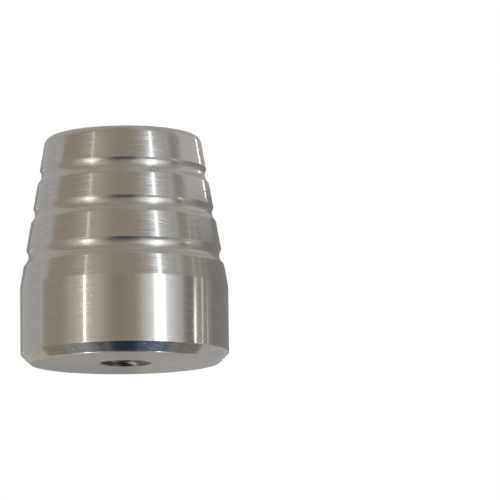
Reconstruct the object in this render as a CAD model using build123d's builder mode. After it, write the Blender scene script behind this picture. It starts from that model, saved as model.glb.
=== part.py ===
"""Bar end weight: a solid turned steel weight that screws onto a stud in a handlebar's end.

The part stands on its large end face. The origin is the centre of that face, and +Z runs
along the turning axis towards the small end. All lengths are in millimetres.
"""
import os
from math import cos, radians, sin, tan

from build123d import *

# Large end: a straight band with a bright 45 degree cut at the face.
outer_diameter = 32.0
band_height = 11.7
face_chamfer = 1.5

# Taper, and the rises from the band's edge to each groove and on to the small end face.
taper_angle = 9.8
lower_groove_rise = 4.6
middle_groove_rise = 6.6
upper_groove_rise = 6.0
nose_rise = 6.2
nose_chamfer = 0.8

# Grooves, plunged square to the taper with one round-nosed tool.
groove_radius = 1.75
lower_groove_depth = 0.5
middle_groove_depth = 0.4
upper_groove_depth = 0.4

# Blind tapped hole in the large end, drawn as its tapping-drill bore.
thread_diameter = 8.0
tapping_drill_diameter = 6.8
mouth_clearance = 0.3
mouth_angle = 90.0
hole_depth = 24.0
drill_point_angle = 118.0

# Heights and radii that follow from the sizes above.
outer_radius = outer_diameter / 2
taper_slope = tan(radians(taper_angle))
lower_groove_height = band_height + lower_groove_rise
middle_groove_height = lower_groove_height + middle_groove_rise
upper_groove_height = middle_groove_height + upper_groove_rise
overall_length = upper_groove_height + nose_rise
bore_radius = tapping_drill_diameter / 2
mouth_radius = (thread_diameter + mouth_clearance) / 2
drill_point_height = bore_radius / tan(radians(drill_point_angle / 2))


def taper_radius(height):
    """Radius of the tapered surface at a height above the large end face."""
    return outer_radius - (height - band_height) * taper_slope


def groove_centre(height, depth):
    """Centre of the tool's round nose when it has cut to a depth square to the taper."""
    stand_off = groove_radius - depth
    return (
        taper_radius(height) + stand_off * cos(radians(taper_angle)),
        height + stand_off * sin(radians(taper_angle)),
    )


nose_radius = taper_radius(overall_length - nose_chamfer)
grooves = [
    groove_centre(lower_groove_height, lower_groove_depth),
    groove_centre(middle_groove_height, middle_groove_depth),
    groove_centre(upper_groove_height, upper_groove_depth),
]

os.makedirs("parts", exist_ok=True)

with BuildPart() as bar_end_weight:
    # Turned outline: one half section, taken round the axis.
    with BuildSketch(Plane.XZ) as half_section:
        with BuildLine():
            Polyline(
                (0, 0),
                (outer_radius - face_chamfer, 0),
                (outer_radius, face_chamfer),
                (outer_radius, band_height),
                (nose_radius, overall_length - nose_chamfer),
                (nose_radius - nose_chamfer, overall_length),
                (0, overall_length),
                close=True,
            )
        make_face()
        with Locations(*grooves):
            Circle(groove_radius, mode=Mode.SUBTRACT)
    revolve(axis=Axis.Z)

    # Tapped hole: drilled from the large end face, opened at its mouth, with the drill's point.
    with Locations(Plane.XY.rotated((180, 0, 0))):
        CounterSinkHole(bore_radius, mouth_radius, hole_depth, mouth_angle)
    with Locations((0, 0, hole_depth)):
        Cone(
            bore_radius,
            0,
            drill_point_height,
            align=(Align.CENTER, Align.CENTER, Align.MIN),
            mode=Mode.SUBTRACT,
        )

bar_end_weight.part.label = "bar_end_weight"
export_step(bar_end_weight.part, "parts/bar_end_weight.step")

print(f"overall length {overall_length:.2f} mm, volume {bar_end_weight.part.volume:.0f} mm3")
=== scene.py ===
# %% [markdown]
# # A bar end weight, turned from one bar of steel
# The weight screws onto the end of a handlebar. A lathe gave it every surface that it has: a straight
# band, a taper with three round grooves, two flat ends and a tapped hole. So this lesson has one piece
# to build, and most of it is about how turned metal looks: the fine rings that the tool leaves, the
# bright cut at the rim, and a room for the steel to mirror.
#
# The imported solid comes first. It fixes where the weight stands and how large it is, and nothing here
# moves or resizes it.

# %% Load the frame
from math import acos, cos, pi, radians, sin, tan

import bmesh
import bpy
import numpy as np
from mathutils import Matrix, Vector


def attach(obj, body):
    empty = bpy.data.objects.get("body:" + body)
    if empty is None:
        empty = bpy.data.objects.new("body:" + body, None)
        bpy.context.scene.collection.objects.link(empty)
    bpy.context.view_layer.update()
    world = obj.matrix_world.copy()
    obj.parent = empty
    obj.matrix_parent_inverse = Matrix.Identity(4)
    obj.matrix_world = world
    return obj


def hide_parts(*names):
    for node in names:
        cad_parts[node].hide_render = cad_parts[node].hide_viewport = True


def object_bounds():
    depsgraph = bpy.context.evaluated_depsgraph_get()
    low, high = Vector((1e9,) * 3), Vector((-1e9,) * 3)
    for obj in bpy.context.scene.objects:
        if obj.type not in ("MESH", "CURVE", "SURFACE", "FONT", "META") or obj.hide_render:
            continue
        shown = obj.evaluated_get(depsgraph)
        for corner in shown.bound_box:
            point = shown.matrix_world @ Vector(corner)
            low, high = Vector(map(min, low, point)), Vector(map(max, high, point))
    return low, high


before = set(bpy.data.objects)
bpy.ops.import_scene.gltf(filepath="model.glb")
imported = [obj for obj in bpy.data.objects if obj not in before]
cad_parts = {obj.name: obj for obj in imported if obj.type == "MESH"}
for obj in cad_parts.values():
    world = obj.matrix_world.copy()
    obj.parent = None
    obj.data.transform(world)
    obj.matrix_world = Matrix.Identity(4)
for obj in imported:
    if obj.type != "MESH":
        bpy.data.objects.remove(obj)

NODE = "bar_end_weight"
MM = 0.001
solid_low, solid_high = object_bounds()
outer_radius = (solid_high.x - solid_low.x) / 2
overall_length = solid_high.z - solid_low.z
print(f"solid: {2 * outer_radius / MM:.2f} mm across, {overall_length / MM:.2f} mm long")

# %% [markdown]
# ## The sizes on the drawing
# The box of the solid gives the outer diameter and the length. The other sizes are the ones that a
# turner would read off the drawing, from the large end upwards. A groove is given by the height of its
# middle and by its depth, measured square to the taper, because that is how a round-nosed tool is fed in.

# %% Sizes of the turned outline
band_height = 11.7 * MM
face_chamfer = 1.5 * MM
taper_angle = radians(9.8)
nose_round = 1.3 * MM
groove_radius = 1.75 * MM
groove_cuts = [(28.9 * MM, 0.4 * MM), (22.9 * MM, 0.4 * MM), (16.3 * MM, 0.5 * MM)]


def taper_radius(height):
    """Radius of the taper: the outer radius, less the rise above the band times the slope."""
    return outer_radius - (height - band_height) * tan(taper_angle)


print(f"small end: {2 * taper_radius(overall_length) / MM:.2f} mm across before its rounding")

# %% Sizes of the tapped hole
mouth_radius = 4.15 * MM
thread_radius = 4.05 * MM
thread_pitch = 1.25 * MM
thread_depth = 20.0 * MM
bore_radius = 3.4 * MM
hole_depth = 24.0 * MM
drill_point_angle = radians(118.0)
point_height = bore_radius / tan(drill_point_angle / 2)
print(f"hole: {(hole_depth + point_height) / MM:.2f} mm deep at the drill's point")

# %% [markdown]
# ## The outline as stretches
# A turned part is one outline carried round an axis, so the whole outside is a list of stretches, each
# with the finish that the tool left there: faced ends, a rounded nose, satin lands, polished grooves, the
# straight band and a bright chamfer. A Spin modifier on a drawn curve would also work. Computing the
# points keeps every radius tied to the sizes above, and lets each stretch carry its finish along.


# %% Straight stretches and grooves
def straight(start, end):
    """Length, and the point at a distance s: the start plus s times the unit direction."""
    start, end = np.array(start), np.array(end)
    length = np.linalg.norm(end - start)
    return length, lambda s: start + np.outer(s, (end - start) / length)


def groove(height, depth):
    """Length, and the point at a distance s along the arc of the tool's nose.

    The nose's centre stands off the taper. From there the arc's angle swings from the upper lip to the
    lower one, by s divided by the nose's radius.
    """
    stand_off = groove_radius - depth
    half_swing = acos(stand_off / groove_radius)
    centre = np.array([taper_radius(height) + stand_off * cos(taper_angle),
                       height + stand_off * sin(taper_angle)])

    def point(s):
        swing = taper_angle - half_swing + s / groove_radius
        return centre - groove_radius * np.stack([np.cos(swing), np.sin(swing)], axis=1)
    return 2 * half_swing * groove_radius, point


print("groove arcs:", [round(groove(*cut)[0] / MM, 2) for cut in groove_cuts], "mm")


# %% The rounded edge of the small end
def nose():
    """Length, and the point at a distance s along the rounded edge.

    Its centre stands one radius below the end and one radius inside the taper. The arc's angle falls from
    straight up to square to the taper, by s divided by the radius.
    """
    low = overall_length - nose_round
    centre = np.array([taper_radius(low) - nose_round / cos(taper_angle), low])

    def point(s):
        lift = pi / 2 - s / nose_round
        return centre + nose_round * np.stack([np.cos(lift), np.sin(lift)], axis=1)
    return nose_round * (pi / 2 - taper_angle), point


nose_length, nose_point = nose()
print(f"nose: {nose_length / MM:.2f} mm along its arc")

# %% Stretches from the small end to the hole
nose_rim, land_start = nose_point(np.array([0.0, nose_length]))
band_top = (outer_radius, band_height)
band_foot = (outer_radius, face_chamfer)
face_rim = (outer_radius - face_chamfer, 0.0)

stretches = [("faced", straight((0.0, overall_length), nose_rim)), ("nose", (nose_length, nose_point))]
for height, depth in groove_cuts:
    length, point = groove(height, depth)
    upper_lip, lower_lip = point(np.array([0.0, length]))
    stretches += [("land", straight(land_start, upper_lip)), ("groove", (length, point))]
    land_start = lower_lip
stretches += [("land", straight(land_start, band_top)),
              ("band", straight(band_top, band_foot)),
              ("chamfer", straight(band_foot, face_rim)),
              ("faced", straight(face_rim, (mouth_radius, 0.0)))]
print("stretches:", [name for name, _ in stretches])

# %% [markdown]
# ## Breaking the edges
# No real edge is perfectly sharp. Most edges here are only broken, with a stroke of a file. The lower lip
# of each groove is polished round, and so is the rim of the large face, which is what catches the light
# there. A Bevel modifier could do it, but it would also bevel the thread. Here each stretch is cut short at
# a corner and a small curve bridges the gap. Rows close to the ends of a straight stretch keep its shading
# true there.

# %% Ease the corners of the outline
# How far a corner is eased on each side of it. A corner that isn't named gets the plain edge break.
EDGE_BREAK = 0.06 * MM
ROUNDED = {("groove", "land"): 0.27 * MM, ("chamfer", "faced"): 0.2 * MM, ("land", "band"): 0.15 * MM,
           ("land", "groove"): 0.02 * MM, ("faced", "nose"): 0.0, ("nose", "land"): 0.0}


def crossing(start, along, end, ahead):
    """Where two lines meet: solves start + s along = end - t ahead."""
    s, _ = np.linalg.solve(np.stack([along, ahead], axis=1), end - start)
    return start + s * along


def eased_outline(parts, arc_steps=20, bridge_steps=6, nudge=0.01 * MM):
    """Rows of (radius, height), and the finish of the strip that follows each row.

    A corner is bridged by a parabola: the mean of its two cut ends and the crossing of their tangents, with
    weights (1-t)^2, t^2 and 2t(1-t).
    """
    reaches = [ROUNDED.get((a[0], b[0]), EDGE_BREAK) for a, b in zip(parts[:-1], parts[1:])]
    rows, finishes = [], []
    for (finish, (length, point)), before, after in zip(parts, [0.0] + reaches, reaches + [0.0]):
        begin, end = before, length - after
        if finish in ("groove", "nose"):
            distances = np.linspace(begin, end, arc_steps + 1)
        else:
            distances = np.array([begin, begin + EDGE_BREAK, end - EDGE_BREAK, end])
        stretch = point(distances)
        if before:
            cut, ahead = rows[-1][-1], point(np.array([begin, begin + nudge]))
            corner = crossing(cut, heading, ahead[0], ahead[1] - ahead[0])
            t = np.linspace(0, 1, bridge_steps + 1)[1:-1, None]
            rows.append((1 - t) ** 2 * cut + 2 * t * (1 - t) * corner + t ** 2 * stretch[0])
            finishes += [finishes[-1]] * (bridge_steps - 1)
        rows.append(stretch)
        finishes += [finish] * len(stretch)
        heading = np.diff(point(np.array([end - nudge, end])), axis=0)[0]
    return np.vstack(rows), finishes[:-1]


outline, strip_finish = eased_outline(stretches)
print(f"outline: {len(outline)} rows")

# %% [markdown]
# ## Carrying the outline round, and cutting the thread
# The outside is the outline turned about Z. The thread is a surface of the same kind, with one change:
# its rows climb by one pitch in each turn, so the crests and roots follow the rows exactly. Where a row
# would stand below the mouth or past the thread's end, it is held at that height. Those held rows lie on
# top of each other, and welding joins them, which also closes the two poles.

# %% Turn the outline
COLUMNS = 256
turn = 2 * pi * np.arange(COLUMNS) / COLUMNS + pi / 2


def around(radius, height):
    """Points (radius cos a, radius sin a, height) for every row and every angle a of a full turn."""
    radius, height, angle = np.broadcast_arrays(radius, height, turn)
    return np.stack([radius * np.cos(angle), radius * np.sin(angle), height], axis=-1)


outside = around(outline[:, :1], outline[:, 1:])
print("outside:", outside.shape[0], "rows of", outside.shape[1], "points")

# %% Cut the hole and its thread
ROWS_PER_PITCH = 12
ROOT_HALF_WIDTH = thread_pitch / 16
FLANK_ANGLE = radians(30)
# Height of the first root at the start of the turn, and the radius that the mouth's cone loses per height.
THREAD_START = 0.29 * MM
MOUTH_SLOPE = 2.5


def thread_wall():
    """Internal thread: radius falls from root to crest along 60 degree flanks; height climbs with the angle.

    The mouth is opened by a short cone, so the radius is the larger of the thread and that cone, and over
    the last turn the roots run out to the bore.
    """
    rows = int(round((thread_depth + thread_pitch) / thread_pitch * ROWS_PER_PITCH)) + 1
    climb = -thread_pitch + np.arange(rows) * thread_pitch / ROWS_PER_PITCH
    from_root = np.abs(((climb - THREAD_START) / thread_pitch + 0.5) % 1.0 - 0.5) * thread_pitch
    flank = thread_radius - (from_root - ROOT_HALF_WIDTH) / tan(FLANK_ANGLE)
    radius = np.clip(flank, bore_radius, thread_radius)[:, None]
    height = climb[:, None] + thread_pitch * np.arange(COLUMNS) / COLUMNS
    height = np.clip(height, 0.0, thread_depth)
    run_out = np.clip((thread_depth - height) / thread_pitch, 0.0, 1.0)
    radius = bore_radius + (radius - bore_radius) * run_out
    return np.maximum(radius, mouth_radius - MOUTH_SLOPE * height), height


drilled = np.array([(bore_radius, thread_depth), (bore_radius, hole_depth),
                    (0.0, hole_depth + point_height)])
grids = [outside, around(*thread_wall()), around(drilled[:, :1], drilled[:, 1:])]
print("grid rows:", [len(grid) for grid in grids])

# %% [markdown]
# ## One mesh that remembers where the tool went
# The grids become one mesh. Each face takes the finish of its strip. Each point keeps one number as an
# attribute, its distance along the outline, and that is all that the tool's rings need to find their place.
# Welding closes the mesh, except for one sliver 0.005 mm high where the thread ends, deep in the hole. Its
# three edges are the open ones that the count below finds.


# %% Join the points of each grid
def grid_faces(rows, offset, shift):
    """Quads between neighbouring rows and columns; a climbing grid meets itself shift rows further on."""
    j, i = np.meshgrid(np.arange(rows - 1), np.arange(COLUMNS), indexing="ij")
    step = np.where(i == COLUMNS - 1, shift, 0)
    following = (i + 1) % COLUMNS
    near, far = j + step, j + 1 + step
    quads = np.stack([j * COLUMNS + i, (j + 1) * COLUMNS + i,
                      far * COLUMNS + following, near * COLUMNS + following], axis=-1)
    return quads[far < rows] + offset


shifts = [0, ROWS_PER_PITCH, 0]
offsets = np.cumsum([0] + [len(grid) * COLUMNS for grid in grids[:-1]])
faces = [grid_faces(len(grid), offset, shift) for grid, offset, shift in zip(grids, offsets, shifts)]
print("quads:", [len(quads) for quads in faces])

# %% Finish of each face, and distance along the outline of each point
FINISHES = ["land", "groove", "band", "chamfer", "faced", "thread", "nose"]


def path_length(rows):
    """Distance along the outline at each row: the running sum of the steps between rows."""
    return np.concatenate([[0.0], np.cumsum(np.linalg.norm(np.diff(rows, axis=0), axis=1))])


outside_finish = np.repeat([FINISHES.index(name) for name in strip_finish], COLUMNS)
hole_finish = np.full(len(faces[1]) + len(faces[2]), FINISHES.index("thread"))
outside_run = np.repeat(path_length(outline), COLUMNS)
hole_run = outside_run[-1] + np.concatenate([grid[..., 2].ravel() for grid in grids[1:]])
print(f"outline: {outside_run[-1] / MM:.1f} mm along its path")

# %% Put the surfaces into a mesh
mesh = bpy.data.meshes.new("turned_weight")
mesh.from_pydata(np.concatenate([grid.reshape(-1, 3) for grid in grids]), [], np.concatenate(faces))
finish_index = np.concatenate([outside_finish, hole_finish])
mesh.polygons.foreach_set("material_index", finish_index.astype(np.int32))
mesh.polygons.foreach_set("use_smooth", np.ones(len(mesh.polygons), dtype=bool))
run = mesh.attributes.new("run", "FLOAT", "POINT")
run.data.foreach_set("value", np.concatenate([outside_run, hole_run]).astype(np.float32))

WELD_DISTANCE = 1e-7
welded = bmesh.new()
welded.from_mesh(mesh)
bmesh.ops.remove_doubles(welded, verts=welded.verts, dist=WELD_DISTANCE)
open_edges = sum(len(edge.link_faces) != 2 for edge in welded.edges)
welded.to_mesh(mesh)
volume = welded.calc_volume()
welded.free()

weight = bpy.data.objects.new("turned_weight", mesh)
bpy.context.scene.collection.objects.link(weight)
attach(weight, "root")
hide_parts(NODE)
print(f"mesh: {len(mesh.polygons)} faces, {open_edges} open edges, {volume / MM ** 3:.0f} mm3")

# %% [markdown]
# ## How far the lathe's surface is from the solid
# A lesson should check itself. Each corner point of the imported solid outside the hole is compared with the
# outline: the distance to the nearest point of a finely divided outline is a fair measure of the departure.

# %% Compare with the solid
FINE_STEPS = 40
solid_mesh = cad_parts[NODE].data
corners = np.empty(3 * len(solid_mesh.vertices))
solid_mesh.vertices.foreach_get("co", corners)
corners = corners.reshape(-1, 3)
section = np.stack([np.hypot(corners[:, 0], corners[:, 1]), corners[:, 2]], axis=1)
section = np.unique(section[section[:, 0] > mouth_radius].round(7), axis=0)
fine = np.concatenate([np.linspace(a, b, FINE_STEPS) for a, b in zip(outline[:-1], outline[1:])])
departure = np.linalg.norm(fine[None] - section[:, None], axis=2).min(axis=1).max()
print(f"greatest departure from the solid: {departure / MM:.3f} mm")

# %% [markdown]
# ## Node trees in few words
# The materials below share five small helpers, so that a node tree reads like a list. One places a node, one
# fills its inputs, one does a sum, one makes a smooth ramp, and one starts a group.


# %% Helpers for node trees
def place(tree, kind, inputs=None, **settings):
    """Adds a node, sets its properties, and fills its inputs."""
    node = tree.nodes.new(kind)
    for name, value in settings.items():
        setattr(node, name, value)
    feed(tree, node, inputs or {})
    return node


def feed(tree, node, inputs):
    """Fills a node's inputs: a socket is linked, and a plain value becomes the default."""
    for name, value in inputs.items():
        if isinstance(value, bpy.types.NodeSocket):
            tree.links.new(value, node.inputs[name])
        else:
            node.inputs[name].default_value = value


def calculate(tree, operation, *values):
    """A Math node on numbers or sockets; gives its result."""
    return place(tree, "ShaderNodeMath", dict(enumerate(values)), operation=operation).outputs[0]


def spread(tree, value, low, high, to_low=0.0, to_high=1.0):
    """Smooth ramp: to_low below low, to_high above high, and an S curve between."""
    node = place(tree, "ShaderNodeMapRange", {"Value": value, "From Min": low, "From Max": high,
                                              "To Min": to_low, "To Max": to_high},
                 interpolation_type="SMOOTHSTEP")
    return node.outputs["Result"]


def new_group(name, inputs, outputs):
    """An empty shader group with named inputs (numbers, or colours given as tuples) and named outputs."""
    group = bpy.data.node_groups.new(name, "ShaderNodeTree")
    for label, value in inputs.items():
        kind = "NodeSocketColor" if isinstance(value, tuple) else "NodeSocketFloat"
        group.interface.new_socket(label, in_out="INPUT", socket_type=kind).default_value = value
    for label, kind in outputs.items():
        group.interface.new_socket(label, in_out="OUTPUT", socket_type=kind)
    return group, group.nodes.new("NodeGroupInput"), group.nodes.new("NodeGroupOutput")


print("helpers:", [helper.__name__ for helper in (place, feed, calculate, spread, new_group)])

# %% [markdown]
# ## The rings that the tool leaves
# A lathe tool leaves one fine spiral, which the eye reads as rings round the axis. A wave texture would draw
# them too evenly. Noise that is stretched far along the rings and packed tightly across them gives lines that
# fade in and out, as real ones do. The distance along the outline places them, so the rings run round the
# taper, the grooves and the flat ends alike. A second, broader noise keeps the fine one from looking uniform.

# %% Group: lathe rings
PER_METRE = 1000.0
BROAD_STRETCH = (0.6, 0.6, 0.16)
# Noise values that make the darkest and the brightest line, and the share of each noise in the streaks.
FINE_RANGE = (0.35, 0.65)
BROAD_RANGE = (0.3, 0.7)
FINE_SHARE = 0.8
BROAD_SHARE = 0.2

lathe_rings, entry, result = new_group(
    "lathe_rings",
    {"Lines per mm": 5.0, "Changes per mm": 0.3},
    {"Height": "NodeSocketFloat", "Streak": "NodeSocketFloat"})
along = place(lathe_rings, "ShaderNodeAttribute", attribute_name="run").outputs["Fac"]
spot = place(lathe_rings, "ShaderNodeTexCoord").outputs["Object"]
spot_parts = place(lathe_rings, "ShaderNodeSeparateXYZ", {0: spot})
packed = calculate(lathe_rings, "MULTIPLY", entry.outputs["Lines per mm"], PER_METRE)
slow = calculate(lathe_rings, "MULTIPLY", entry.outputs["Changes per mm"], PER_METRE)
ring_spot = place(lathe_rings, "ShaderNodeCombineXYZ", {
    "X": calculate(lathe_rings, "MULTIPLY", spot_parts.outputs["X"], slow),
    "Y": calculate(lathe_rings, "MULTIPLY", spot_parts.outputs["Y"], slow),
    "Z": calculate(lathe_rings, "MULTIPLY", along, packed)}).outputs[0]
broad_spot = place(lathe_rings, "ShaderNodeVectorMath", {0: ring_spot, 1: BROAD_STRETCH},
                   operation="MULTIPLY").outputs[0]
fine_lines = place(lathe_rings, "ShaderNodeTexNoise",
                   {"Vector": ring_spot, "Scale": 1.0, "Detail": 1.0}).outputs["Fac"]
broad_lines = place(lathe_rings, "ShaderNodeTexNoise",
                    {"Vector": broad_spot, "Scale": 1.0, "Detail": 2.0}).outputs["Fac"]
fine_part = calculate(lathe_rings, "MULTIPLY", spread(lathe_rings, fine_lines, *FINE_RANGE), FINE_SHARE)
broad_part = calculate(lathe_rings, "MULTIPLY", spread(lathe_rings, broad_lines, *BROAD_RANGE), BROAD_SHARE)
streak = calculate(lathe_rings, "ADD", fine_part, broad_part)
lathe_rings.links.new(fine_lines, result.inputs["Height"])
lathe_rings.links.new(streak, result.inputs["Streak"])
print("group lathe_rings:", len(lathe_rings.nodes), "nodes")

# %% [markdown]
# ## Marks of handling
# The weight has been picked up and laid down: there are short bright scratches on the lands, a few flecks on
# the band and along its edge, and smudges on the chamfer. They could be painted on an image, but a few short
# lines are easily worked out. Each one has a place, given by its angle round the weight and its height, and
# fades out along its length and across its width.

# %% Group: one scratch
scratch, entry, result = new_group(
    "scratch",
    {"Angle": 0.0, "Height": 0.0, "At angle": 0.0, "At height": 0.0,
     "Slant": 0.0, "Reach": 1.0, "Width": 0.1, "Strength": 1.0},
    {"Mask": "NodeSocketFloat"})
given = entry.outputs
aside = calculate(scratch, "SUBTRACT", given["Angle"], given["At angle"])
above = calculate(scratch, "SUBTRACT", given["Height"], given["At height"])
off_line = calculate(scratch, "SUBTRACT", above, calculate(scratch, "MULTIPLY", aside, given["Slant"]))
lengthwise = spread(scratch, calculate(scratch, "ABSOLUTE", aside), 0.0, given["Reach"], 1.0, 0.0)
crosswise = spread(scratch, calculate(scratch, "ABSOLUTE", off_line), 0.0, given["Width"], 1.0, 0.0)
faded = calculate(scratch, "MULTIPLY", lengthwise, crosswise)
scratch.links.new(calculate(scratch, "MULTIPLY", faded, given["Strength"]), result.inputs["Mask"])
print("group scratch:", len(scratch.nodes), "nodes")

# %% Group: all the scratches
SCRATCHES = [
    # Angle of the middle (degrees), its height (mm), slant (mm per degree), reach (degrees), width (mm)
    # and strength. First the lands.
    (24.6, 19.66, -0.04, 5.0, 0.1, 0.6),
    (22.6, 19.75, -0.04, 1.6, 0.11, 0.7),
    (25.0, 20.28, -0.053, 4.5, 0.1, 0.6),
    (24.2, 20.81, 0.01, 2.5, 0.08, 0.35),
    (24.0, 18.8, -0.04, 5.0, 0.09, 0.4),
    (32.6, 20.1, -0.01, 2.0, 0.07, 0.4),
    (27.6, 30.96, -0.03, 2.0, 0.09, 0.8),
    (25.9, 31.08, -0.16, 0.9, 0.1, 0.6),
    (23.8, 31.15, -0.03, 2.4, 0.09, 0.7),
    (23.4, 13.5, -0.015, 3.0, 0.07, 0.4),
    # The band, and the flecks along its upper edge.
    (-18.1, 8.5, -0.18, 1.2, 0.11, 0.9),
    (-19.3, 7.3, 0.0, 0.7, 0.1, 0.5),
    (-28.7, 6.8, 0.24, 2.6, 0.2, 0.25),
    (-5.7, 11.5, 0.0, 0.6, 0.14, 0.9),
    (1.2, 11.4, 0.0, 0.6, 0.1, 0.4),
    (6.7, 11.4, 0.0, 0.8, 0.15, 1.0),
    (25.8, 11.35, 0.0, 0.8, 0.12, 0.6),
    # The chamfer.
    (10.7, 1.14, -0.02, 1.8, 0.15, 0.8),
    (13.2, 0.75, -0.05, 1.5, 0.15, 0.6),
    (16.0, 0.5, -0.02, 4.0, 0.25, 0.6),
    (17.5, 1.0, 0.04, 2.0, 0.15, 0.5),
    (-30.6, 0.7, 0.0, 0.9, 0.2, 0.9),
    (-33.0, 1.2, 0.1, 1.4, 0.1, 0.6),
    (-23.0, 0.9, -0.1, 0.8, 0.1, 0.5),
]
handling_marks, _, result = new_group(
    "handling_marks", {}, {"Mask": "NodeSocketFloat", "Scuff": "NodeSocketFloat"})
spot = place(handling_marks, "ShaderNodeTexCoord").outputs["Object"]
spot_parts = place(handling_marks, "ShaderNodeSeparateXYZ", {0: spot})
towards = calculate(handling_marks, "MULTIPLY", spot_parts.outputs["Y"], -1.0)
bearing = calculate(handling_marks, "ARCTAN2", spot_parts.outputs["X"], towards)
angle = calculate(handling_marks, "DEGREES", bearing)
height_mm = calculate(handling_marks, "MULTIPLY", spot_parts.outputs["Z"], PER_METRE)
marks = 0.0
for at_angle, at_height, slant, reach, width, strength in SCRATCHES:
    one = place(handling_marks, "ShaderNodeGroup", node_tree=scratch)
    feed(handling_marks, one, {"Angle": angle, "Height": height_mm,
                               "At angle": at_angle, "At height": at_height, "Slant": slant,
                               "Reach": reach, "Width": width, "Strength": strength})
    marks = calculate(handling_marks, "MAXIMUM", marks, one.outputs["Mask"])
handling_marks.links.new(marks, result.inputs["Mask"])
print("scratches:", len(SCRATCHES))

# %% [markdown]
# ## Scuffs
# At the left the lands are rubbed, in long faint streaks that run nearly level and a little across the rings.
# They are too many to place one by one, so a stretched noise draws them, and it fades out towards the front.

# %% Scuffs on the lands
# Slant in mm per degree, lines per mm, changes per degree, depth as a share of the steel's colour, and the
# noise values that make the darkest and the brightest streak.
SCUFF_SLANT = 0.012
SCUFF_LINES = 2.4
SCUFF_CHANGES = 0.11
SCUFF_DEPTH = 0.045
SCUFF_RANGE = (0.35, 0.65)
# Angles, in degrees, where the scuffs begin to fade and where they are gone.
SCUFF_FADES = -52.0
SCUFF_GONE = -38.0

slope = calculate(handling_marks, "MULTIPLY", angle, SCUFF_SLANT)
slanted = calculate(handling_marks, "ADD", height_mm, slope)
scuff_spot = place(handling_marks, "ShaderNodeCombineXYZ", {
    "X": calculate(handling_marks, "MULTIPLY", angle, SCUFF_CHANGES),
    "Z": calculate(handling_marks, "MULTIPLY", slanted, SCUFF_LINES)}).outputs[0]
scuffs = place(handling_marks, "ShaderNodeTexNoise", {"Vector": scuff_spot, "Scale": 1.0, "Detail": 2.0})
uneven = spread(handling_marks, scuffs.outputs["Fac"], *SCUFF_RANGE, -1.0, 1.0)
rubbed = spread(handling_marks, angle, SCUFF_FADES, SCUFF_GONE, 1.0, 0.0)
depth = calculate(handling_marks, "MULTIPLY", rubbed, SCUFF_DEPTH)
scuff = calculate(handling_marks, "ADD", 1.0, calculate(handling_marks, "MULTIPLY", uneven, depth))
handling_marks.links.new(scuff, result.inputs["Scuff"])
print("group handling_marks:", len(handling_marks.nodes), "nodes")

# %% [markdown]
# ## One steel, seven finishes
# The steel is the same all over, and the tool's work makes the differences, except in the hole. Fine rings
# smear a reflection across themselves, so the lands and the band are strongly anisotropic. The grooves are
# polished evenly, the chamfer is the smoothest cut, and the faced ends are duller. The thread's colour is
# darkened as painted shade for the dim inside of the hole. One function makes them all, because they differ
# only in a few numbers.

# %% How turned steel is made
STEEL = (0.60, 0.58, 0.555)
FACED_STEEL = (0.53, 0.51, 0.485)
# The thread's colour is darker than the steel's: painted shade for the dim inside of the tapped hole.
SHADED_THREAD_STEEL = (0.22, 0.205, 0.185)
MARK_TINT = (0.92, 0.91, 0.89)
MARK_ROUGHNESS = 0.2
# A quarter turn lays the smear across the rings instead of along them.
ACROSS_RINGS = 0.25


def handled_steel(tree, colour, rough, scuffed):
    """Colour and roughness with the marks on: a scratch mixes in bright metal and adds roughness.

    A scuff multiplies the colour.
    """
    handled = place(tree, "ShaderNodeGroup", node_tree=handling_marks)
    marks = handled.outputs["Mask"]
    rough = calculate(tree, "ADD", rough, calculate(tree, "MULTIPLY", marks, MARK_ROUGHNESS))
    bared = place(tree, "ShaderNodeMix", {"Factor": marks}, data_type="RGBA")
    feed(tree, bared, {"A": colour, "B": (*MARK_TINT, 1)})
    colour = bared.outputs["Result"]
    if scuffed:
        worn = place(tree, "ShaderNodeMix", {"Factor": 1.0}, data_type="RGBA", blend_type="MULTIPLY")
        feed(tree, worn, {"A": colour, "B": handled.outputs["Scuff"]})
        colour = worn.outputs["Result"]
    return colour, rough


def turned_finish(name, roughness, anisotropy, lines, bump, changes=0.3, grain=0.15, tint=STEEL, swing=0.02,
                  marked=False, scuffed=False):
    """Bare steel with rings: roughness and tint swing with the streaks, by the shares grain and swing.

    The rings also lift the surface by the height bump, and the tangent runs round the axis.
    """
    material = bpy.data.materials.new(name)
    material.use_nodes = True
    tree = material.node_tree
    rings = place(tree, "ShaderNodeGroup", {"Lines per mm": lines, "Changes per mm": changes},
                  node_tree=lathe_rings)
    streak = rings.outputs["Streak"]
    rough = place(tree, "ShaderNodeMapRange", {"Value": streak, "To Min": roughness * (1 - grain),
                                               "To Max": roughness * (1 + grain)}).outputs["Result"]
    shade = place(tree, "ShaderNodeMix", {"Factor": streak}, data_type="RGBA")
    feed(tree, shade, {"A": (*[c * (1 - swing) for c in tint], 1),
                       "B": (*[c * (1 + swing) for c in tint], 1)})
    colour = shade.outputs["Result"]
    if marked:
        colour, rough = handled_steel(tree, colour, rough, scuffed)
    tangent = place(tree, "ShaderNodeTangent", direction_type="RADIAL", axis="Z").outputs[0]
    lift = place(tree, "ShaderNodeBump", {"Strength": 1.0, "Distance": bump,
                                          "Height": rings.outputs["Height"]}).outputs[0]
    feed(tree, tree.nodes["Principled BSDF"], {
        "Base Color": colour, "Metallic": 1.0, "Roughness": rough, "Normal": lift, "Tangent": tangent,
        "Anisotropic": anisotropy, "Anisotropic Rotation": ACROSS_RINGS})
    return material


print("steel tint:", STEEL)

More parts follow.
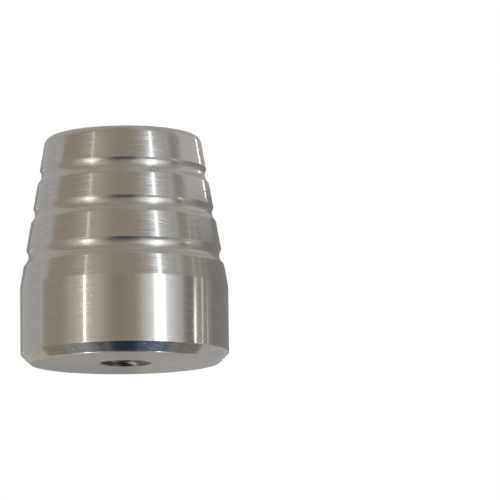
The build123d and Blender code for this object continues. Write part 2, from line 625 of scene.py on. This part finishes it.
# %% The seven finishes
finishes = {
    "land": turned_finish("satin_land", 0.18, 0.9, 6.0, 0.3e-6, grain=0.45, swing=0.018,
                          marked=True, scuffed=True),
    "groove": turned_finish("polished_groove", 0.23, 0.0, 5.0, 0.1e-6),
    "nose": turned_finish("rounded_nose", 0.23, 0.4, 4.0, 0.4e-6, swing=0.05),
    "band": turned_finish("straight_band", 0.17, 0.85, 5.0, 0.15e-6, grain=0.3, swing=0.033, marked=True),
    "chamfer": turned_finish("bright_chamfer", 0.10, 0.3, 2.5, 3e-6, changes=0.5, swing=0.05, marked=True),
    "faced": turned_finish("faced_end", 0.34, 0.6, 3.0, 0.8e-6, tint=FACED_STEEL, swing=0.04),
    # Painted shade: the thread's dark tint stands in for the shade deep in the hole.
    "thread": turned_finish("cut_thread_painted_shade", 0.25, 0.0, 8.0, 0.2e-6, tint=SHADED_THREAD_STEEL, swing=0.2),
}
for name in FINISHES:
    mesh.materials.append(finishes[name])
print("finishes:", [material.name for material in mesh.materials])

# %% [markdown]
# ## A room for the steel to mirror
# Bare metal has no look of its own: it shows the room. A photographer builds that room from cards and lights
# round the part, and here the World does the same, with each card given by the angles that it covers. An
# image of a room would be quicker, but a card can be moved by one number. The camera itself sees plain white.


# %% Group: one card in the room
def band_mask(tree, value, low, high, soft):
    """1 between low and high, 0 outside, with soft edges of that half width: the product of two ramps."""
    def ramp(limit, start, end):
        """From start to end, across the soft edge at a limit."""
        return spread(tree, value, calculate(tree, "SUBTRACT", limit, soft),
                      calculate(tree, "ADD", limit, soft), start, end)
    return calculate(tree, "MULTIPLY", ramp(low, 0.0, 1.0), ramp(high, 1.0, 0.0))


card, entry, result = new_group(
    "studio_card",
    {"Azimuth": 0.0, "Elevation": 0.0, "Left": -10.0, "Right": 10.0, "Edge": 2.0, "Low": -20.0, "High": 20.0,
     "Fade": 5.0, "Lean": 0.0, "Light": (1.0, 1.0, 1.0, 1.0), "Behind": (0.5, 0.5, 0.5, 1.0)},
    {"Light": "NodeSocketColor"})
given = entry.outputs
leaning = calculate(card, "MULTIPLY", given["Elevation"], given["Lean"])
upright = calculate(card, "SUBTRACT", given["Azimuth"], leaning)
sides = band_mask(card, upright, given["Left"], given["Right"], given["Edge"])
ends = band_mask(card, given["Elevation"], given["Low"], given["High"], given["Fade"])
cover = place(card, "ShaderNodeMix", {"Factor": calculate(card, "MULTIPLY", sides, ends)}, data_type="RGBA")
feed(card, cover, {"A": given["Behind"], "B": given["Light"]})
card.links.new(cover.outputs["Result"], result.inputs["Light"])
print("group studio_card:", len(card.nodes), "nodes")

# %% The cards
WARM = (0.385, 0.345, 0.295)
GREY = (0.515, 0.513, 0.512)
NAVY = (0.03, 0.042, 0.065)
ROOM_CARDS = [
    # Left, right, soft edge, low, high and fade in degrees; lean in degrees per degree; light. A later card
    # covers the earlier ones. First the walls and the ceiling.
    (-102.5, 66, 2, -60, 200, 10, 0.2, WARM),
    (66, 200, 1, -40, 38, 6, 0, (0.62, 0.61, 0.60)),
    (67, 83, 1.5, -30, 16, 4, 0, (0.25, 0.235, 0.23)),
    (66, 90, 2, -60, -28, 4, 0, (0.40, 0.395, 0.385)),
    (70, 92, 6, 14, 45, 6, 0, (0.365, 0.355, 0.335)),
    (19, 160, 14, 46, 200, 10, 0, (0.50, 0.495, 0.47)),
    (38, 52, 9, 48, 78, 8, 0, (0.55, 0.565, 0.57)),
    (-150, -38, 14, 46, 200, 10, 0, (0.48, 0.452, 0.403)),
    (-200, 200, 8, 80, 200, 6, 0, (0.385, 0.36, 0.325)),
    (-200, -155, 3, -6, 16, 4, 0, (0.36, 0.36, 0.36)),
    (130, 178, 8, 27, 50, 6, 0, (0.46, 0.435, 0.39)),
    (143, 200, 1.5, 8, 50, 4, 0, (0.47, 0.45, 0.42)),
    # Soft light beside the lamps, and the dull gap between them.
    (-60, -31, 19, -50, 24, 14, 0.25, (0.79, 0.725, 0.66)),
    (-12, 0, 10, -30, 14, 10, 0, (0.32, 0.28, 0.235)),
    (18, 66, 9, -25, 16, 12, 0, (0.755, 0.765, 0.745)),
    (27.5, 67, 10, 12, 46, 8, 0, (0.53, 0.53, 0.515)),
    (34.5, 54, 5, 12, 46, 8, 0, (0.57, 0.59, 0.605)),
    (38.5, 46.8, 2.5, 10, 44, 6, 0, (0.65, 0.71, 0.77)),
    (26, 58, 8, -46, -22, 6, 0, (0.50, 0.53, 0.60)),
    (28, 53, 11, -20, 18, 12, 0, (1.13, 1.19, 1.26)),
    # Lamps.
    (-49.5, -38.0, 1.5, -34, -6, 5, 0.117, (2.7, 2.65, 2.6)),
    (-44.95, -43.75, 0.5, -1, 13, 5, 0, (7.4, 7.4, 7.4)),
    (-46.3, -45.0, 0.5, 19, 44, 5, 0, (1.6, 1.58, 1.52)),
    (34.6, 46.0, 3, -22, 20.5, 6, -0.1, (2.6, 2.65, 2.7)),
    (41.0, 43.8, 0.8, 10, 42, 6, 0, (2.9, 3.0, 3.1)),
    (138.4, 139.8, 0.5, 11, 17.5, 1.5, 0, (11.0, 11.0, 10.2)),
    (-148.6, -147.4, 0.5, 1, 3, 1, 0, (10.0, 9.0, 7.4)),
    # What lies below, which the chamfer and the hole mirror.
    (-200, -101, 1.5, -200, -12, 10, 0, (0.55, 0.51, 0.46)),
    (-133, -112, 1.5, -60, -34, 3, 0, (0.31, 0.273, 0.222)),
    (-84, 100, 6, -200, -64, 4, 0, (0.105, 0.14, 0.20)),
    (-112, -60, 2, -82, -50, 4, 0, (0.325, 0.33, 0.345)),
    (-84, -56, 11, -84, -60, 4, 0, (0.112, 0.107, 0.118)),
    (-69.5, -57.5, 2, -84, -70, 3, 0, (0.178, 0.153, 0.138)),
    (-95.4, -93, 0.8, -80, -55, 4, 0, (0.44, 0.44, 0.445)),
    (100, 200, 4, -200, -20, 10, 0, (0.50, 0.505, 0.505)),
    (145, 200, 4, -30, -2, 4, 0, (0.47, 0.475, 0.48)),
    (20, 96, 8, -70, -44, 6, 0, (0.20, 0.20, 0.20)),
    (74, 97, 4, -75, -63, 2, 0, (0.14, 0.19, 0.26)),
    (89.3, 92.6, 1.2, -72, -64, 3, 0, (0.25, 0.31, 0.42)),
    (96, 101.3, 1, -70, -58, 3, 0, (0.115, 0.15, 0.195)),
    (101.3, 127.6, 1, -66, -38, 3, 0, (0.25, 0.26, 0.235)),
    (110.4, 113, 0.8, -60, -48, 3, 0, (0.165, 0.17, 0.165)),
    (113.4, 127.6, 1, -56, -38, 3, 0, (0.27, 0.245, 0.205)),
    (-54, 50, 6, -200, -75, 2, 0, NAVY),
    (-19, 20, 7, -70, -17, 9, 0, (0.08, 0.087, 0.115)),
    (-200, -160, 6, -82, -45, 6, 0, (0.08, 0.08, 0.08)),
    (140, 200, 6, -82, -45, 6, 0, (0.08, 0.08, 0.08)),
    (-158, -142, 3, -67, -55, 3, 0, (3.2, 3.3, 3.15)),
    (142, 158, 3, -67, -56, 3, 0, (2.5, 2.55, 2.5)),
    (-127.5, -119.5, 1, -67.2, -65.2, 0.5, 0, (11.5, 11.8, 12.0)),
    (-135.5, -127.5, 1, -66.1, -64.2, 0.5, 0, (11.5, 11.8, 12.0)),
    (-143.5, -135.5, 1, -64.7, -62.7, 0.5, 0, (11.5, 11.8, 12.0)),
    (119, 127.5, 1, -69.4, -68, 0.5, 0, (10.5, 10.7, 11.2)),
    (127.5, 136, 1, -68.2, -66.8, 0.5, 0, (10.5, 10.7, 11.2)),
    (136, 144.5, 1, -66.5, -65, 0.5, 0, (10.5, 10.7, 11.2)),
]
print("room:", len(ROOM_CARDS), "cards")

# %% The room
world = bpy.data.worlds.new("studio")
bpy.context.scene.world = world
world.use_nodes = True
room = world.node_tree
room.nodes.clear()
look = place(room, "ShaderNodeSeparateXYZ", {0: place(room, "ShaderNodeTexCoord").outputs["Generated"]})
front = calculate(room, "MULTIPLY", look.outputs["Y"], -1.0)
azimuth = calculate(room, "DEGREES", calculate(room, "ARCTAN2", look.outputs["X"], front))
elevation = calculate(room, "DEGREES", calculate(room, "ARCSINE", look.outputs["Z"]))
light = place(room, "ShaderNodeRGB").outputs[0]
light.default_value = (*GREY, 1)
for left, right, edge, low, high, fade, lean, colour in ROOM_CARDS:
    layer = place(room, "ShaderNodeGroup", node_tree=card)
    feed(room, layer, {"Azimuth": azimuth, "Elevation": elevation, "Left": left, "Right": right,
                       "Edge": edge, "Low": low, "High": high, "Fade": fade, "Lean": lean,
                       "Light": (*colour, 1), "Behind": light})
    light = layer.outputs["Light"]
mirrored = place(room, "ShaderNodeBackground", {"Color": light, "Strength": 1.0})
seen = place(room, "ShaderNodeBackground", {"Color": (1, 1, 1, 1), "Strength": 1.0})
choice = place(room, "ShaderNodeMixShader", {0: place(room, "ShaderNodeLightPath").outputs["Is Camera Ray"],
                                             1: mirrored.outputs[0], 2: seen.outputs[0]})
place(room, "ShaderNodeOutputWorld", {"Surface": choice.outputs[0]})
bpy.context.scene.view_settings.view_transform = "Standard"
print("room:", len(room.nodes), "nodes")

# %% [markdown]
# ## Cards and strips close by
# The lower lands mirror dark things that the upper ones look over. The World can't show that, because it is
# endlessly far away. So curved cards stand near, at the right and behind, about as high as the weight. One
# more hangs below the floor's level and shades part of the large face. Thin bright strips just inside the
# cards draw the fine upright lines at the right of the lands. Only the steel sees any of them.

# %% How a near card is made
CARD_STEPS = 24
CARD_RADIUS = 45 * MM
STRIP_RADIUS = 44 * MM
CARD_HEIGHT = 35 * MM


def curved_sheet(name, start, end, radius, foot, height):
    """Part of an upright cylinder: points (r sin a, -r cos a, z) between two azimuths and two heights."""
    sweep = np.radians(np.linspace(start, end, CARD_STEPS + 1))
    low_edge = np.stack([radius * np.sin(sweep), -radius * np.cos(sweep), np.full(len(sweep), foot)], axis=1)
    points = np.concatenate([low_edge, low_edge + (0, 0, height - foot)])
    i = np.arange(CARD_STEPS)
    quads = np.stack([i + 1, i, i + len(sweep), i + 1 + len(sweep)], axis=1)
    sheet = bpy.data.meshes.new(name)
    sheet.from_pydata(points, [], quads)
    return sheet


def plain_glow(name, shade, dims_from, height):
    """Light of one shade. With dims_from, it falls off from there to the card's top along an S curve."""
    material = bpy.data.materials.new(name)
    material.use_nodes = True
    tree = material.node_tree
    tree.nodes.clear()
    shine = place(tree, "ShaderNodeEmission", {"Color": (*shade, 1), "Strength": 1.0})
    if dims_from is not None:
        spot = place(tree, "ShaderNodeTexCoord").outputs["Object"]
        level = place(tree, "ShaderNodeSeparateXYZ", {0: spot}).outputs["Z"]
        feed(tree, shine, {"Strength": spread(tree, level, dims_from, height, 1.0, 0.0)})
    place(tree, "ShaderNodeOutputMaterial", {"Surface": shine.outputs[0]})
    return material


def near_card(name, start, end, shade, radius=CARD_RADIUS, height=CARD_HEIGHT, foot=0.0, dims_from=None):
    """A curved card between two azimuths, from its foot to its height, that only reflections show."""
    sheet = curved_sheet(name, start, end, radius, foot, height)
    sheet.materials.append(plain_glow(name, shade, dims_from, height))
    piece = bpy.data.objects.new(name, sheet)
    bpy.context.scene.collection.objects.link(piece)
    piece.visible_camera = False
    piece.visible_diffuse = False
    piece.visible_shadow = False
    return piece


def near_strip(name, start, end, shade, **reach):
    """A narrow card that stands a little nearer than the others."""
    return near_card(name, start, end, shade, radius=STRIP_RADIUS, **reach)


print(f"near cards: {CARD_RADIUS / MM:.0f} mm from the axis")

# %% Near cards
near_cards = [
    near_card("grey_card", 74, 95, (0.36, 0.34, 0.32)),
    near_card("dark_card", 95, 123, (0.27, 0.265, 0.26), height=29.5 * MM),
    near_card("mid_card", 95, 123, (0.42, 0.405, 0.395), radius=45.5 * MM, height=36.2 * MM),
    near_card("side_card", 123, 200, (0.27, 0.265, 0.26), height=36.2 * MM),
    near_card("rim_card", 200, 227, (0.32, 0.32, 0.32)),
    near_card("pale_card", 222, 242, GREY, height=13.5 * MM),
    near_card("shade_card", 177, 212, (0.38, 0.375, 0.365), height=-1 * MM, foot=-15 * MM),
    near_strip("yellow_strip", 69.3, 71.0, (4.2, 4.2, 3.65), height=20 * MM, foot=5 * MM, dims_from=4 * MM),
    near_strip("low_strip", 74.6, 76.8, (1.2, 1.18, 0.98), height=5 * MM),
    near_strip("high_strip", 73.9, 74.8, (1.0, 1.0, 0.93), height=32 * MM, foot=25.5 * MM),
    near_strip("first_strip", 79.6, 80.5, (1.65, 1.65, 1.55), height=22 * MM, dims_from=16 * MM),
    near_strip("first_high_strip", 82.5, 83.4, (0.7, 0.7, 0.66), height=32 * MM, foot=23 * MM),
    near_strip("second_strip", 87.3, 87.9, (1.8, 1.8, 1.7), height=24 * MM, dims_from=2 * MM),
]
print("near cards:", [piece.name for piece in near_cards])

# %% [markdown]
# ## The floor
# The weight stands on a pale floor. The portrait looks up at it from below the floor's level, as through a
# glass table, so the floor shows only from above: seen from below it lets the view through, and the steel
# doesn't mirror it. Further out it glows, so that it fades into the white room without an edge.

# %% Floor
FLOOR_RADIUS = 0.6
FLOOR_GAP = 0.02 * MM
FLOOR_SIDES = 96
ring = np.linspace(0, 2 * pi, FLOOR_SIDES, endpoint=False)
floor_points = np.stack([FLOOR_RADIUS * np.cos(ring), FLOOR_RADIUS * np.sin(ring),
                         np.full(FLOOR_SIDES, -FLOOR_GAP)], axis=1)
floor_mesh = bpy.data.meshes.new("floor")
floor_mesh.from_pydata(floor_points, [], [list(range(FLOOR_SIDES))])
floor = bpy.data.objects.new("floor", floor_mesh)
bpy.context.scene.collection.objects.link(floor)
floor.visible_glossy = False
floor.visible_diffuse = False
floor.visible_shadow = False
print(f"floor: {2 * FLOOR_RADIUS:.1f} m across")

# %% Paper of the floor
PAPER_SHADE = (0.86, 0.86, 0.85)
GLOW_BEGINS = 0.05
GLOW_FULL = 0.35
paper = bpy.data.materials.new("pale_floor")
paper.use_nodes = True
tree = paper.node_tree
tree.nodes.clear()
matt = place(tree, "ShaderNodeBsdfDiffuse", {"Color": (*PAPER_SHADE, 1)})
glow = place(tree, "ShaderNodeEmission", {"Color": (1, 1, 1, 1)})
spot = place(tree, "ShaderNodeTexCoord").outputs["Object"]
distance = place(tree, "ShaderNodeVectorMath", {0: spot}, operation="LENGTH").outputs["Value"]
fading = place(tree, "ShaderNodeMixShader", {0: spread(tree, distance, GLOW_BEGINS, GLOW_FULL),
                                             1: matt.outputs[0], 2: glow.outputs[0]})
clear = place(tree, "ShaderNodeBsdfTransparent")
sided = place(tree, "ShaderNodeMixShader", {0: place(tree, "ShaderNodeNewGeometry").outputs["Backfacing"],
                                            1: fading.outputs[0], 2: clear.outputs[0]})
place(tree, "ShaderNodeOutputMaterial", {"Surface": sided.outputs[0]})
floor_mesh.materials.append(paper)
print(f"paper: glows fully from {GLOW_FULL} m outwards")

# %% [markdown]
# ## A lamp for the floor
# The room lights the steel, but it is too uneven to light a matt floor well. A broad lamp overhead does that.
# It is kept out of the reflections, so the steel stays as the room made it.

# %% Overhead lamp
LAMP_PLACE = Vector((-0.15, -0.1, 0.6))
lamp_data = bpy.data.lights.new("overhead", "AREA")
lamp_data.shape = "DISK"
lamp_data.size = 0.5
lamp_data.energy = 4.0
lamp = bpy.data.objects.new("overhead", lamp_data)
lamp.location = LAMP_PLACE
lamp.rotation_mode = "QUATERNION"
lamp.rotation_quaternion = LAMP_PLACE.to_track_quat("Z", "Y")
lamp.visible_glossy = False
lamp.visible_camera = False
bpy.context.scene.collection.objects.link(lamp)
print(f"lamp: {lamp_data.energy:.0f} W, {LAMP_PLACE.length:.2f} m away")

# %% [markdown]
# ## The camera
# The edges in the photograph fix the camera: a long lens, about 0.6 m away and 8.5 degrees below the level of
# the weight. The weight stands left of the middle there, so the camera points a little past it, to the right,
# and it is rolled by a fraction of a degree.

# %% Way the camera faces
IMAGE_PIXELS = 500
PIXELS_PER_MM = 6.4887
VIEW_DISTANCE = 0.6
LOOK_UP = radians(8.5)
LEAN = radians(-0.555)
AIM_HEIGHT = 18.0 * MM
AIM_PIXEL = (123.84, 247.37)


def view_basis(look, above):
    """Turn whose columns are the right, the up and the backward direction of someone who looks that way."""
    right = look.cross(above).normalized()
    return Matrix((right, right.cross(look), -look)).transposed()


focal_pixels = PIXELS_PER_MM / MM * VIEW_DISTANCE
half = IMAGE_PIXELS / 2
aim_in_camera = Vector((AIM_PIXEL[0] - half, half - AIM_PIXEL[1], -focal_pixels)).normalized()
aim_in_world = Vector((0, cos(LOOK_UP), sin(LOOK_UP)))
camera_turn = (view_basis(aim_in_world, Vector((0, 0, 1)))
               @ view_basis(aim_in_camera, Vector((sin(LEAN), cos(LEAN), 0))).inverted())
print("camera faces:", [round(part, 3) for part in -camera_turn.col[2]])

# %% Camera
SENSOR_WIDTH = 36.0
NEAREST_SEEN = 0.01
camera_data = bpy.data.cameras.new("portrait")
camera_data.sensor_width = SENSOR_WIDTH
camera_data.lens = SENSOR_WIDTH * focal_pixels / IMAGE_PIXELS
camera_data.clip_start = NEAREST_SEEN
camera = bpy.data.objects.new("portrait", camera_data)
camera_place = Vector((0, 0, AIM_HEIGHT)) - VIEW_DISTANCE * aim_in_world
camera.matrix_world = Matrix.LocRotScale(camera_place, camera_turn, None)
bpy.context.scene.collection.objects.link(camera)
bpy.context.scene.camera = camera
print(f"camera: {camera_data.lens:.0f} mm lens, {VIEW_DISTANCE:.2f} m away")
